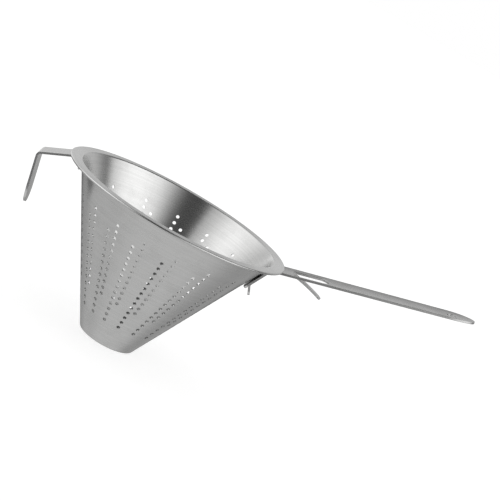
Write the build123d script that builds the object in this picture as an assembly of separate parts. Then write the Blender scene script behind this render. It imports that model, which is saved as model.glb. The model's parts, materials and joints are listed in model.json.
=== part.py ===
from build123d import *
import math
import os

# Chinois strainer: a perforated sheet cone with a hemmed rim, a strip handle and a
# strip rest hook, both spot-welded to the outside of the wall.
# The origin is the centre of the flat base, +Z runs up the cone's axis and +X points
# along the handle. Lengths are millimetres and angles are degrees.

# Cone body
mouth_radius = 89.7  # inner wall produced up to the rim's top plane
rim_width = 10.3
rim_radius = mouth_radius + rim_width  # outer edge of the hemmed rim
base_radius = 24.5  # outer wall produced down to the ground plane
body_height = 126.8
sheet_thickness = 0.8
mouth_bend = 1.8  # rounding of the mouth's edge on the upper side of the sheet
base_bend = 2.0  # rounding of the base's edge on the outer side of the sheet
hem_thickness = 2.0
hem_return = 5.5  # how far the folded layer runs back under the rim

# Wall perforation: rows of holes along the wall, in pairs of a short and a tall row
hole_diameter = 3.1
hole_pitch = 6.28
short_row_start = 25.3  # along the wall, from the rim's top plane to the first hole
tall_row_start = 34.5
short_row_stop = 47.0  # free wall below the last hole, measured from the ground plane
tall_row_stop = 25.0
pair_angles = [-138.6, -118.4, -98.9, -78.7, -56.6, -34.1, -12.0, 14.0,
               38.7, 63.9, 86.5, 109.5, 136.3, 157.5, 178.8, 200.2]
pair_step = 6.1  # angle between the two rows of a pair

# Base perforation: rings of holes round a plain centre
base_ring_start = 4.0  # radius of the innermost ring
base_ring_pitch = 6.0
base_edge_margin = 5.0  # free sheet between the outermost holes and the wall

# Strip handle
handle_width = 27.5  # at the rim, and of the leg
handle_tip_width = 23.6  # where the sides meet the half-oval end
handle_tip_length = 24.0  # of the half-oval end
handle_thickness = 2.0
handle_rise = 14.85  # slope of the arm above the horizontal
handle_drop = 1.8  # arm's upper edges below the rim's top plane, at the rim's edge
handle_length = 164.8  # along the arm, from the rim's edge to the tip
handle_dish = 1.1  # depth of the trough pressed into the arm
handle_bend = 2.0  # inner radius of the bend from the arm to the leg
handle_standoff = 1.0  # height of the weld projections between the leg and the wall
handle_leg_depth = 28.5  # leg's end below the rim's top plane
leg_corner_rounding = 3.5

# Prong bent outwards from the end of the handle's leg
prong_width = 9.0
prong_root_depth = 24.0  # bend line of the prong, below the rim's top plane
prong_length = 12.5
prong_lean = 23.5  # slope of the prong outwards from the vertical
prong_bend = 1.5
prong_slit = 0.6

# Slot in the arm, and the tongue pressed down out of it
slot_start = 8.8  # along the arm, from the rim's edge
slot_length = 30.3
slot_width = 15.4
slot_rounding = 7.5
tongue_width = 7.5
tongue_length = 29.0
tongue_slope = 9.0  # fall of the tongue just after its root bend
tongue_tip_slope = 20.0
tongue_bend = 3.0
tongue_tip_rounding = 3.6
hang_hole_diameter = 8.5
hang_hole_inset = 20.0  # from the arm's tip to the hole's centre

# Rest hook
hook_width = 28.0
hook_thickness = 2.0
hook_standoff = 0.3
hook_leg_depth = 10.0  # wall leg's end below the rim's top plane
hook_wall_bend = 2.0  # inner radius of the bend between the wall leg and the rim
hook_rim_gap = 0.05  # between the hook's arm and the hem above it
hook_reach = 23.4  # sharp outer corner of the arm, from the rim's edge
hook_arm_slope = 24.4  # fall of the arm outwards
hook_arm_drop = 3.26  # arm's top below the rim's top plane, at the rim's edge
hook_arm_bend = 8.0  # radius of the arm's top where it leaves the rim
hook_corner_bend = 2.0  # inner radius of the bend between the arm and the drop
hook_drop_length = 45.0
hook_drop_lean = 11.4  # slope of the drop inwards from the vertical
hook_tip_rounding = 13.7
hook_root_rounding = 3.0

# Spot welds
weld_diameter = 5.0
weld_spacing = 10.0
handle_weld_count = 2
weld_clearance = 0.05  # round the nugget, inside its pockets
weld_depth_share = 0.6  # of the sheet or strip that the nugget reaches into
weld_first_inset = 4.0  # from the end of a leg to the centre of its last weld

# Shared values
overrun = 5.0  # reach of a cutter past the surface that it cuts
widest_rounding_share = 0.49  # of a strip's width, the largest rounding of its end


def wall_angle():
    """Angle between the wall and the axis, from the mouth, the base and the sheet."""
    spread = mouth_radius - base_radius
    slant = math.hypot(spread, body_height)
    return math.degrees(math.atan2(spread, body_height) + math.asin(sheet_thickness / slant))


WALL = wall_angle()
TAN_WALL = math.tan(math.radians(WALL))
COS_WALL = math.cos(math.radians(WALL))


def direction(angle):
    """Unit vector in the XZ plane at an angle above +X."""
    return Vector(math.cos(math.radians(angle)), math.sin(math.radians(angle)))


def crossing(point_a, angle_a, point_b, angle_b):
    """Point where two lines in a plane meet, each given by a point and an angle."""
    a, b = direction(angle_a), direction(angle_b)
    gap = Vector(*point_b) - Vector(*point_a)
    along = (gap.X * b.Y - gap.Y * b.X) / (a.X * b.Y - a.Y * b.X)
    return Vector(*point_a) + a * along


def wall_point(depth, clear=0.0):
    """Point in the XZ plane off the outer wall, at a depth below the rim's top plane."""
    height = body_height - depth
    return Vector(base_radius + height * TAN_WALL + clear / COS_WALL, height)


def sheet_section(skin, thickness, side):
    """Face in the XZ plane between a skin line and its copy one thickness away."""
    return Plane.XZ * make_face(offset(skin, thickness, side=side).edges())


def across_plane(point, angle):
    """Plane square to a strip that runs at an angle: local x is +Y, local y is off its face."""
    along = direction(angle)
    return Plane((point.X, 0, point.Y), x_dir=(0, 1, 0), z_dir=(along.X, 0, along.Y))


def face_plane(point, angle):
    """Plane on a strip's face: local x runs along the strip, local y is +Y."""
    along = direction(angle)
    return Plane((point.X, 0, point.Y), x_dir=(along.X, 0, along.Y), z_dir=(-along.Y, 0, along.X))


def end_waste(plane, width, rounding):
    """Prisms that round the two corners where a strip ends at the plane's origin."""
    rounding = min(rounding, width * widest_rounding_share)
    square = Pos(-rounding / 2) * Rectangle(rounding, width)
    rounded = fillet(square.vertices().group_by(Axis.X)[-1], rounding)
    return extrude(plane * (square - rounded), overrun, both=True)


def dished_section(plane, width):
    """Section of the arm or of a strip out of its middle: a trough pressed into flat stock."""
    half = width / 2
    radius = (handle_width ** 2 / 4 + handle_dish ** 2) / (2 * handle_dish)
    lip = radius - handle_dish - math.sqrt(radius ** 2 - half ** 2)
    top = ThreePointArc((-half, lip), (0, -handle_dish), (half, lip))
    side = Line((half, lip), (half, lip - handle_thickness))
    low = ThreePointArc(
        (half, lip - handle_thickness),
        (0, -handle_dish - handle_thickness),
        (-half, lip - handle_thickness),
    )
    back = Line(low @ 1, top @ 0)
    outline = [edge for line in (top, side, low, back) for edge in line.edges()]
    return plane * make_face(outline)


def weld_rods(spots, standoff, strip, grow):
    """Nuggets square to the wall at (depth, y) spots, from inside the sheet to inside the strip."""
    rods = []
    buried = sheet_thickness * weld_depth_share
    length = buried + standoff + strip * weld_depth_share
    for depth, across in spots:
        foot = wall_point(depth)
        start = foot - direction(-WALL) * buried
        plane = across_plane(start, -WALL)
        rod = Cylinder(weld_diameter / 2 + grow, length, align=(Align.CENTER, Align.CENTER, Align.MIN))
        rods.append(plane * (Pos(across) * rod))
    return rods


def handle_weld_spots():
    """Welds in line down the middle of the handle's leg."""
    lowest = prong_root_depth - weld_first_inset - weld_diameter / 2
    return [(lowest - row * weld_spacing * COS_WALL, 0) for row in range(handle_weld_count)]


def hook_weld_spots():
    """Two welds side by side on the hook's short wall leg."""
    depth = hook_leg_depth - weld_first_inset
    return [(depth, side * weld_spacing / 2) for side in (-1, 1)]


def handle_welds(grow=0.0):
    """Nuggets under the handle's leg, or the pockets for them, which are a little larger."""
    return weld_rods(handle_weld_spots(), handle_standoff, handle_thickness, grow)


def hook_welds(grow=0.0):
    """Nuggets under the hook's wall leg, or the pockets for them, on the -X side."""
    rods = weld_rods(hook_weld_spots(), hook_standoff, hook_thickness, grow)
    return [mirror(rod, about=Plane.YZ) for rod in rods]


def wall_holes():
    """Cutters for the paired rows of holes, square to the wall."""
    slant = body_height / COS_WALL
    cutters = []
    rows = ((0, short_row_start, short_row_stop), (-pair_step, tall_row_start, tall_row_stop))
    for pair_angle in pair_angles:
        for step, start, stop in rows:
            count = int((slant - start - stop) / hole_pitch) + 1
            for hole in range(count):
                middle = wall_point((start + hole * hole_pitch) * COS_WALL, -sheet_thickness / 2)
                cutter = Cylinder(hole_diameter / 2, sheet_thickness + overrun)
                placed = across_plane(middle, -WALL) * cutter
                cutters.append(Rot(Z=pair_angle + step) * placed)
    return cutters


def base_holes():
    """Cutters for the rings of holes in the flat base, about a pitch apart."""
    cutter = Cylinder(hole_diameter / 2, 2 * overrun)
    room = base_radius - base_edge_margin - hole_diameter / 2 - base_ring_start
    cutters = []
    for ring in range(int(room / base_ring_pitch) + 1):
        radius = base_ring_start + ring * base_ring_pitch
        count = max(round(2 * math.pi * radius / hole_pitch), 1)
        for hole in range(count):
            cutters.append(Rot(Z=(hole + 1 / 2) * 360 / count) * Pos(radius) * cutter)
    return cutters


def perforated_cone():
    """Cone, base and hemmed rim as one revolved sheet, with its holes and weld pockets."""
    inner_base = Vector(base_radius + sheet_thickness * (TAN_WALL - 1 / COS_WALL), sheet_thickness)
    hem_start = rim_radius - hem_thickness / 2
    inner = FilletPolyline(
        (0, sheet_thickness),
        inner_base,
        (mouth_radius, body_height),
        (hem_start, body_height),
        radius=[base_bend - sheet_thickness, mouth_bend],
    )
    fold = CenterArc((hem_start, body_height - hem_thickness / 2), hem_thickness / 2, 90, -180)
    folded = Line(fold @ 1, (rim_radius - hem_return, body_height - hem_thickness))
    skin = Wire(inner.edges() + fold.edges() + folded.edges())
    sheet = revolve(sheet_section(skin, sheet_thickness, Side.RIGHT), Axis.Z)
    pockets = handle_welds(weld_clearance) + hook_welds(weld_clearance)
    return sheet - (wall_holes() + base_holes() + pockets)


def arm_outline():
    """Plan of the arm: sides that taper from the rim's edge, and a half-oval tip."""
    tip_start = handle_length - handle_tip_length
    half, tip_half = handle_width / 2, handle_tip_width / 2
    corners = [(0, -half), (tip_start, -tip_half), (tip_start, tip_half), (0, half)]
    sides = make_face(Polyline(*corners, close=True))
    return Sketch() + sides + Pos(tip_start) * Ellipse(handle_tip_length, tip_half)


def handle_arm():
    """Dished arm from the rim's edge to its tip, with its slot and hanging hole."""
    root = Vector(rim_radius, body_height - handle_drop)
    arm = extrude(dished_section(across_plane(root, handle_rise), handle_width), handle_length)
    plane = face_plane(root, handle_rise)
    arm = arm & extrude(plane * arm_outline(), overrun, both=True)
    slot = Pos(slot_start + slot_length / 2) * Rectangle(slot_length, slot_width)
    slot = fillet(slot.vertices().group_by(Axis.X)[-1], slot_rounding)
    hole = Pos(handle_length - hang_hole_inset) * Circle(hang_hole_diameter / 2)
    openings = extrude(plane * Sketch([slot, hole]), overrun, both=True)
    return arm - openings


def handle_root():
    """Flat leg on the wall, its bend, and the run under the rim where the trough deepens."""
    rim_edge = Vector(rim_radius, body_height - handle_drop)
    leg_angle = 90 - WALL
    corner = crossing(rim_edge, handle_rise, wall_point(0, handle_standoff), leg_angle)
    bend = handle_bend + handle_thickness
    flat_start = corner + direction(handle_rise) * bend * math.tan(
        math.radians(leg_angle - handle_rise) / 2
    )
    leg_end = wall_point(handle_leg_depth, handle_standoff)
    past = flat_start + direction(handle_rise) * sheet_thickness
    skin = FilletPolyline(leg_end, corner, past, radius=bend)
    leg = extrude(
        sheet_section(skin, handle_thickness, Side.RIGHT), handle_width / 2, both=True
    )
    leg_plane = face_plane(leg_end, leg_angle + 180)
    leg = leg - end_waste(leg_plane, handle_width, leg_corner_rounding)
    flat_plane = across_plane(past, handle_rise)
    flat = flat_plane * Pos(0, -handle_thickness / 2) * Rectangle(handle_width, handle_thickness)
    trough = loft([flat, dished_section(across_plane(rim_edge, handle_rise), handle_width)])
    return leg, trough


def handle_prong(leg):
    """Leg with its end slit, and the middle strip of it bent outwards as a prong."""
    leg_angle = 90 - WALL
    bend = prong_bend + handle_thickness
    turn = WALL + prong_lean
    bend_run = bend * math.tan(math.radians(turn / 2))
    corner = wall_point(prong_root_depth, handle_standoff)
    root = corner + direction(leg_angle) * bend_run
    start = root + direction(leg_angle) * handle_thickness
    end = corner + direction(prong_lean - 90) * prong_length
    skin = FilletPolyline(start, corner, end, radius=bend)
    prong = extrude(sheet_section(skin, handle_thickness, Side.LEFT), prong_width / 2, both=True)
    prong = prong - end_waste(face_plane(end, prong_lean - 90), prong_width, prong_width / 2)
    notch_plane = face_plane(root, leg_angle + 180)
    notch_width = prong_width + 2 * prong_slit
    notch = Pos(prong_length / 2) * Rectangle(prong_length, notch_width)
    leg = leg - extrude(notch_plane * notch, prong_length, both=True)
    return leg + prong


def handle_tongue():
    """Tongue pressed down out of the slot, from its root to its rounded tip."""
    rim_edge = Vector(rim_radius, body_height - handle_drop)
    root = rim_edge + direction(handle_rise) * slot_start
    start = root - direction(handle_rise) * handle_thickness
    bend = tongue_bend + handle_thickness + handle_dish
    first_turn = handle_rise + tongue_slope
    second_turn = tongue_tip_slope - tongue_slope
    sweep_radius = tongue_length / math.radians(second_turn)
    run = Line(start, root)
    knee = JernArc(root, direction(handle_rise), bend, -first_turn)
    curve = JernArc(knee @ 1, direction(-tongue_slope), sweep_radius, -second_turn)
    path = Plane.XZ * Wire(run.edges() + knee.edges() + curve.edges())
    tongue = sweep(dished_section(across_plane(start, handle_rise), tongue_width), path)
    tip_plane = face_plane(curve @ 1, -tongue_tip_slope)
    return tongue - end_waste(tip_plane, tongue_width, tongue_tip_rounding)


def handle():
    """Strip handle as one bent and pressed piece, with pockets for its welds."""
    leg, trough = handle_root()
    body = handle_prong(leg) + trough + handle_arm() + handle_tongue()
    return body - handle_welds(weld_clearance)


def rest_hook():
    """Strip hook opposite the handle: wall leg, arm under the rim, and hanging drop."""
    leg_end = wall_point(hook_leg_depth, hook_standoff)
    under_rim = body_height - hem_thickness - hook_rim_gap
    rim_edge = Vector(rim_radius, body_height - hook_arm_drop)
    arm_slope = -hook_arm_slope
    wall_corner = crossing(leg_end, 90 - WALL, (0, under_rim), 0)
    rim_corner = crossing((0, under_rim), 0, rim_edge, arm_slope)
    arm_corner = crossing(rim_edge, arm_slope, (rim_radius + hook_reach, 0), 90)
    end = arm_corner + direction(-90 - hook_drop_lean) * hook_drop_length
    skin = FilletPolyline(
        leg_end,
        wall_corner,
        rim_corner,
        arm_corner,
        end,
        radius=[
            hook_wall_bend + hook_thickness,
            hook_arm_bend,
            hook_corner_bend + hook_thickness,
        ],
    )
    hook = extrude(sheet_section(skin, hook_thickness, Side.RIGHT), hook_width / 2, both=True)
    end_plane = face_plane(end, -90 - hook_drop_lean)
    leg_plane = face_plane(leg_end, 90 - WALL + 180)
    hook = hook - end_waste(end_plane, hook_width, hook_tip_rounding)
    hook = hook - end_waste(leg_plane, hook_width, hook_root_rounding)
    return mirror(hook, about=Plane.YZ) - hook_welds(weld_clearance)


def main():
    """Write one STEP file for each piece."""
    os.makedirs("parts", exist_ok=True)
    pieces = {
        "perforated_cone": perforated_cone(),
        "handle": handle(),
        "rest_hook": rest_hook(),
        "handle_welds": Compound(children=handle_welds()),
        "hook_welds": Compound(children=hook_welds()),
    }
    for name, shape in pieces.items():
        export_step(shape, f"parts/{name}.step", write_pcurves=False)


if __name__ == "__main__":
    main()
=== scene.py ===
"""Chinois strainer: dressed meshes, brushed steel finishes, studio and camera.

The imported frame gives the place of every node. The sheet and the two strips are made
again here with rounded edges, exact shading normals and their brushed finishes.
"""

import json
import logging
import math
from dataclasses import dataclass, field
from enum import Enum
from typing import Callable, Iterable, Sequence

import bmesh
import bpy
import numpy as np
from mathutils import Matrix, Vector, geometry, kdtree

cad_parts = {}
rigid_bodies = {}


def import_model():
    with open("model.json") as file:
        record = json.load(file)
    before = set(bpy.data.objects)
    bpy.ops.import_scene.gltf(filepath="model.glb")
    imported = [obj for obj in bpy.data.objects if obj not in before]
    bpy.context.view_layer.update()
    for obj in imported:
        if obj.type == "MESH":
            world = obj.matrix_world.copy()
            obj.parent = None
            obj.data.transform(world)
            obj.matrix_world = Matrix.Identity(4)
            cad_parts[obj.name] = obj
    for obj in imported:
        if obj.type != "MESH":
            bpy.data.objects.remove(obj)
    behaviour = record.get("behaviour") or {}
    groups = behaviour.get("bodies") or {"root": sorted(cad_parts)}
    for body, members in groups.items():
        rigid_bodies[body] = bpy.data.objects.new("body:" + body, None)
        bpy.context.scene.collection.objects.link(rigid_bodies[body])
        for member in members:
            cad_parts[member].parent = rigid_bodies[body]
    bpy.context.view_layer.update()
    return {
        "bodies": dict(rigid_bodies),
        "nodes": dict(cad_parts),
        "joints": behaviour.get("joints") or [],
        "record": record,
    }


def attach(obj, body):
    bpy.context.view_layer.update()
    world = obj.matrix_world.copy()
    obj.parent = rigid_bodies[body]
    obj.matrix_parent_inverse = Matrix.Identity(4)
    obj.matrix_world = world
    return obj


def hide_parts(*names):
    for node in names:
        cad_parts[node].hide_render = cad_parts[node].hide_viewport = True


MM = 0.001
TINY = 1e-9
NOTHING_LEFT = 1e-12
COUNT_SLACK = 1e-6
DIGITS = 9
SAME_POINT = 0.01 * MM
SENSOR_MM = 36.0
ARC_STEP = math.radians(9.0)
END_STEP = 2.0 * MM
STATION_GAP = 0.15 * MM
SHARPEST_MITRE = 0.8
LOG = logging.getLogger("chinois")
Socket = bpy.types.NodeSocket


class BrushRun(Enum):
    """Which way the brushing marks run on a piece."""

    AROUND = "around the cone's axis"
    ALONG = "along the strip"


class Side(Enum):
    """Which way a strip's path leaves the axis of the cone."""

    HANDLE = 1.0
    HOOK = -1.0


# Small helpers for node trees


def add_node(
    tree: bpy.types.NodeTree, kind: str, inputs: dict | None = None, **values: object
) -> bpy.types.Node:
    """Add a node, set its plain properties and feed its inputs.

    Args:
        tree: The node tree that gets the node.
        kind: The node's Blender type name.
        inputs: What an input gets, by its name or number.
        values: Property names and values.

    Returns:
        The new node.
    """
    node = tree.nodes.new(kind)
    for name, value in values.items():
        setattr(node, name, value)
    for key, value in (inputs or {}).items():
        feed(tree, node.inputs[key], value)
    return node


def feed(tree: bpy.types.NodeTree, socket: Socket, value: object) -> None:
    """Link a socket to an output, or set its default to a plain value.

    Args:
        tree: The node tree that holds the socket.
        socket: The input to feed.
        value: An output socket, a number or a sequence.
    """
    if isinstance(value, Socket):
        tree.links.new(value, socket)
    elif socket.type == "RGBA" and len(value) == 3:
        socket.default_value = (*value, 1.0)
    else:
        socket.default_value = value


class ShaderSketch:
    """Writes shader maths in a few words, one node for each call."""

    def __init__(self, tree: bpy.types.NodeTree) -> None:
        """Keep the tree that the calls write to.

        Args:
            tree: A material's or the world's node tree.
        """
        self.tree = tree

    def math(self, operation: str, *operands: object) -> Socket:
        """One Math node.

        Args:
            operation: Blender's name for the operation.
            operands: Sockets or numbers, as many as the operation takes.

        Returns:
            The node's output socket.
        """
        node = add_node(
            self.tree, "ShaderNodeMath", dict(enumerate(operands)), operation=operation
        )
        return node.outputs[0]

    def vector(
        self, operation: str, first: object, second: object = (0.0, 0.0, 0.0), result: object = 0
    ) -> Socket:
        """One Vector Math node.

        Args:
            operation: Blender's name for the operation.
            first: First operand.
            second: Second operand, where the operation has one.
            result: Number or name of the output that is wanted.

        Returns:
            That output's socket.
        """
        node = add_node(
            self.tree, "ShaderNodeVectorMath", {0: first, 1: second}, operation=operation
        )
        return node.outputs[result]

    def split(self, vector: object) -> tuple:
        """The three components of a vector as sockets."""
        return tuple(add_node(self.tree, "ShaderNodeSeparateXYZ", {0: vector}).outputs)

    def join(self, *parts: object) -> Socket:
        """A vector from three components."""
        return add_node(self.tree, "ShaderNodeCombineXYZ", dict(enumerate(parts))).outputs[0]

    def noise(
        self, vector: object, scale: float, detail: float = 2.0, rough: float = 0.5
    ) -> Socket:
        """A Noise texture's factor.

        Args:
            vector: Where the noise is read.
            scale: Features for each unit of the vector.
            detail: Octaves added to the first.
            rough: How strong each further octave is.

        Returns:
            The factor socket, about 0 to 1.
        """
        inputs = {"Vector": vector, "Scale": scale, "Detail": detail, "Roughness": rough}
        return add_node(self.tree, "ShaderNodeTexNoise", inputs).outputs[0]

    def ramp(
        self, value: object, low: float, high: float, out_low: float, out_high: float
    ) -> Socket:
        """A smooth step of one range onto another.

        Args:
            value: The socket to map.
            low: Input that gives out_low.
            high: Input that gives out_high.
            out_low: Result at and below low.
            out_high: Result at and above high.

        Returns:
            The mapped socket.
        """
        names = ("Value", "From Min", "From Max", "To Min", "To Max")
        inputs = dict(zip(names, (value, low, high, out_low, out_high)))
        node = add_node(self.tree, "ShaderNodeMapRange", inputs, interpolation_type="SMOOTHSTEP")
        return node.outputs["Result"]

    def blend(self, factor: object, first: object, second: object) -> Socket:
        """A colour mix.

        Args:
            factor: How much of the second colour.
            first: Colour at factor 0.
            second: Colour at factor 1.

        Returns:
            The mixed colour socket.
        """
        node = add_node(
            self.tree, "ShaderNodeMix", {0: factor, 6: first, 7: second}, data_type="RGBA"
        )
        return node.outputs[2]

    def attribute(self, name: str, output: str) -> Socket:
        """A mesh attribute's value."""
        return add_node(self.tree, "ShaderNodeAttribute", attribute_name=name).outputs[output]

    def metal(
        self, shader: bpy.types.Node, colour: object, rough: object, height: object,
        strength: float, depth: float,
    ) -> None:
        """Make a shader a bare metal with a fine relief.

        Args:
            shader: The material's principled shader.
            colour: Its base colour.
            rough: Its roughness.
            height: The relief, 0 to 1.
            strength: How strongly the relief turns the surface.
            depth: The relief's full height, in metres.
        """
        relief = {"Strength": strength, "Distance": depth, "Height": height}
        bump = add_node(self.tree, "ShaderNodeBump", relief)
        feed(self.tree, shader.inputs["Base Color"], colour)
        feed(self.tree, shader.inputs["Roughness"], rough)
        feed(self.tree, shader.inputs["Metallic"], 1.0)
        feed(self.tree, shader.inputs["Normal"], bump.outputs["Normal"])


def new_material(name: str) -> tuple[bpy.types.Material, ShaderSketch, object]:
    """Start a node material.

    Args:
        name: The material's name.

    Returns:
        The material, a writer for its tree and the socket with object coordinates.
    """
    material = bpy.data.materials.new(name)
    material.use_nodes = True
    place = add_node(material.node_tree, "ShaderNodeTexCoord").outputs["Object"]
    return material, ShaderSketch(material.node_tree), place


# Finishes


@dataclass(frozen=True)
class BrushedSteel:
    """Satin stainless steel with marks that run one way, faint handling wear and mottling."""

    name: str
    run: BrushRun
    base: tuple[float, float, float] = (0.56, 0.56, 0.555)
    worn: tuple[float, float, float] = (0.66, 0.66, 0.655)
    dull: tuple[float, float, float] = (0.44, 0.44, 0.435)
    roughness: float = 0.26
    anisotropy: float = 0.75
    streak_spacing: float = 0.22 * MM
    streak_length: float = 14.0 * MM
    streak_depth: float = 0.008 * MM
    mottle_size: float = 14.0 * MM
    apex_depth: float = 47.0 * MM
    brush_radius: float = 90.0 * MM
    streak_noise: tuple[float, float] = (3.0, 0.6)
    mottle_noise: tuple[float, float] = (3.0, 0.55)
    smear_stretch: float = 0.13
    smear_range: tuple[float, float] = (0.35, 0.68)
    smear_share: float = 0.35
    mottle_range: tuple[float, float] = (0.5, 0.72)
    mottle_share: float = 0.16
    edge_share: float = 0.35
    streak_roughness: float = 0.12
    matt_range: tuple[float, float] = (0.35, 0.75)
    matt_roughness: tuple[float, float] = (-0.015, 0.02)

    def material(self) -> bpy.types.Material:
        """Build the finish as a node material.

        Returns:
            The new material.
        """
        material, sketch, place = new_material(self.name)
        shader = material.node_tree.nodes["Principled BSDF"]
        across, streak_place = self._brush_field(sketch, place)
        streaks = sketch.noise(streak_place, 1.0, *self.streak_noise)
        mottle = sketch.noise(place, 1.0 / self.mottle_size, *self.mottle_noise)
        smear_place = sketch.vector("MULTIPLY", streak_place, (self.smear_stretch,) * 3)
        smear = sketch.noise(smear_place, 1.0)
        edge = sketch.attribute("edge_wear", "Fac")
        smeared = sketch.ramp(smear, *self.smear_range, 0.0, self.smear_share)
        mottled = sketch.ramp(mottle, *self.mottle_range, 0.0, self.mottle_share)
        shade = sketch.blend(smeared, self.base, self.worn)
        shade = sketch.blend(mottled, shade, self.dull)
        shade = sketch.blend(sketch.math("MULTIPLY", edge, self.edge_share), shade, self.worn)
        low = self.roughness - self.streak_roughness / 2
        rough = sketch.math("MULTIPLY_ADD", streaks, self.streak_roughness, low)
        matt = sketch.ramp(mottle, *self.matt_range, *self.matt_roughness)
        rough = sketch.math("ADD", rough, matt)
        depth = self.streak_depth
        sketch.metal(shader, colour=shade, rough=rough, height=streaks, strength=1.0, depth=depth)
        feed(sketch.tree, shader.inputs["Anisotropic"], self.anisotropy)
        feed(sketch.tree, shader.inputs["Tangent"], across)
        return material

    def _brush_field(self, sketch: ShaderSketch, place: object) -> tuple:
        """Direction across the marks, and the stretched place that their noise is read at.

        Args:
            sketch: Writer for the material's tree.
            place: Object coordinates.

        Returns:
            The direction across the marks and the streak coordinates.
        """
        if self.run is BrushRun.AROUND:
            apex = (0.0, 0.0, -self.apex_depth)
            across = sketch.vector("NORMALIZE", sketch.vector("SUBTRACT", place, apex))
            x, y, z = sketch.split(place)
            flat = sketch.vector("LENGTH", sketch.join(x, y, 0.0), result="Value")
            radius = sketch.math("MAXIMUM", flat, MM)
            slant = sketch.math("ADD", radius, z)
            turns = self.brush_radius / self.streak_length
            unit = [sketch.math("DIVIDE", part, radius) for part in (x, y)]
            around = [sketch.math("MULTIPLY", part, turns) for part in unit]
            down = sketch.math("MULTIPLY", slant, 1.0 / self.streak_spacing)
            return across, sketch.join(*around, down)
        blank = sketch.attribute("blank", "Vector")
        fine = 1.0 / self.streak_spacing
        across = sketch.join(0.0, 1.0, 0.0)
        return across, sketch.vector("MULTIPLY", blank, (1.0 / self.streak_length, fine, fine))


@dataclass(frozen=True)
class WeldMetal:
    """Bare weld nugget: dull, slightly blued and rough."""

    name: str = "weld_nugget"
    base: tuple[float, float, float] = (0.36, 0.345, 0.33)
    blued: tuple[float, float, float] = (0.25, 0.26, 0.33)
    grain: float = 0.8 * MM
    grain_noise: tuple[float, float] = (3.0, 0.6)
    blued_range: tuple[float, float] = (0.4, 0.65)
    rough_range: tuple[float, float] = (0.3, 0.7)
    roughness: tuple[float, float] = (0.42, 0.6)
    relief: float = 0.05 * MM
    relief_strength: float = 0.6

    def material(self) -> bpy.types.Material:
        """Build the finish as a node material.

        Returns:
            The new material.
        """
        material, sketch, place = new_material(self.name)
        grain = sketch.noise(place, 1.0 / self.grain, *self.grain_noise)
        blued = sketch.ramp(grain, *self.blued_range, 0.0, 1.0)
        sketch.metal(
            material.node_tree.nodes["Principled BSDF"],
            colour=sketch.blend(blued, self.base, self.blued),
            rough=sketch.ramp(grain, *self.rough_range, *self.roughness),
            height=grain,
            strength=self.relief_strength,
            depth=self.relief,
        )
        return material


# Meshes


def mesh_object(name: str, points: np.ndarray, faces: Sequence[Sequence[int]]) -> bpy.types.Object:
    """Make a mesh object at the origin and link it to the scene.

    Args:
        name: The object's name.
        points: Vertices, one row each, in metres.
        faces: Vertex numbers of each face.

    Returns:
        The new object.
    """
    mesh = bpy.data.meshes.new(name)
    mesh.from_pydata([tuple(point) for point in points], [], [tuple(face) for face in faces])
    mesh.validate()
    piece = bpy.data.objects.new(name, mesh)
    bpy.context.scene.collection.objects.link(piece)
    return piece


def shade_with(piece: bpy.types.Object, normals: np.ndarray) -> None:
    """Give a mesh its exact shading normals.

    Args:
        piece: The mesh object.
        normals: One unit normal for each face corner.
    """
    mesh = piece.data
    mesh.polygons.foreach_set("use_smooth", [True] * len(mesh.polygons))
    mesh.normals_split_custom_set(normals.tolist())
    mesh.update()


def read(parts: Sequence, name: str, width: int = 1, kind: type = float) -> np.ndarray:
    """Read one property of all of a mesh's parts.

    Args:
        parts: The mesh's vertices, corners or attribute values.
        name: The property's name.
        width: Numbers for each part.
        kind: The numbers' type.

    Returns:
        The numbers, in rows where there is more than one for each part.
    """
    values = np.empty(len(parts) * width, dtype=kind)
    parts.foreach_get(name, values)
    return values.reshape(-1, width) if width > 1 else values


@dataclass(frozen=True)
class Turtle:
    """A line in the XZ plane made of straight runs and tangent arcs.

    The skin that it follows has its normal on the left of its heading.
    """

    start: tuple[float, float]
    heading: float
    runs: tuple[tuple[float, float], ...]

    def length(self) -> float:
        """Whole length of the line."""
        return self.breaks()[-1]

    @staticmethod
    def _run_length(run: tuple[float, float]) -> float:
        """Length of one run, given as (length, 0) or (radius, turn in radians)."""
        size, turn = run
        return size if turn == 0.0 else size * abs(turn)

    def breaks(self) -> list[float]:
        """Distances along the line at which its runs meet."""
        marks = [0.0]
        for run in self.runs:
            marks.append(marks[-1] + self._run_length(run))
        return marks

    def at(self, distance: float) -> tuple[float, float, float]:
        """Point and heading at a distance along the line.

        Args:
            distance: Metres from the start; past either end the line goes on straight.

        Returns:
            x, z and the heading in radians.
        """
        x, z = self.start
        heading = self.heading
        left = distance
        for number, (size, turn) in enumerate(self.runs):
            whole = self._run_length((size, turn))
            last = number == len(self.runs) - 1
            step = left if (last and turn == 0.0) or left < 0.0 else min(left, whole)
            if turn == 0.0 or left < 0.0:
                x += math.cos(heading) * step
                z += math.sin(heading) * step
            else:
                sign = math.copysign(1.0, turn)
                part = step / size * sign
                centre = (x - sign * size * math.sin(heading), z + sign * size * math.cos(heading))
                heading += part
                x = centre[0] + sign * size * math.sin(heading)
                z = centre[1] - sign * size * math.cos(heading)
            left -= step
            if left <= NOTHING_LEFT or step < 0.0:
                return x, z, heading
        x += math.cos(heading) * left
        z += math.sin(heading) * left
        return x, z, heading


def crossing(a: np.ndarray, angle_a: float, b: np.ndarray, angle_b: float) -> np.ndarray:
    """Point where two lines meet, each given by a point and an angle."""
    u = np.array((math.cos(angle_a), math.sin(angle_a)))
    v = np.array((math.cos(angle_b), math.sin(angle_b)))
    gap = b - a
    return a + u * (gap[0] * v[1] - gap[1] * v[0]) / (u[0] * v[1] - u[1] * v[0])


def bend_run(radius: float, turn: float) -> float:
    """Length of the straight run that an arc takes up on each side of its corner."""
    return radius * math.tan(abs(turn) / 2.0)


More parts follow.
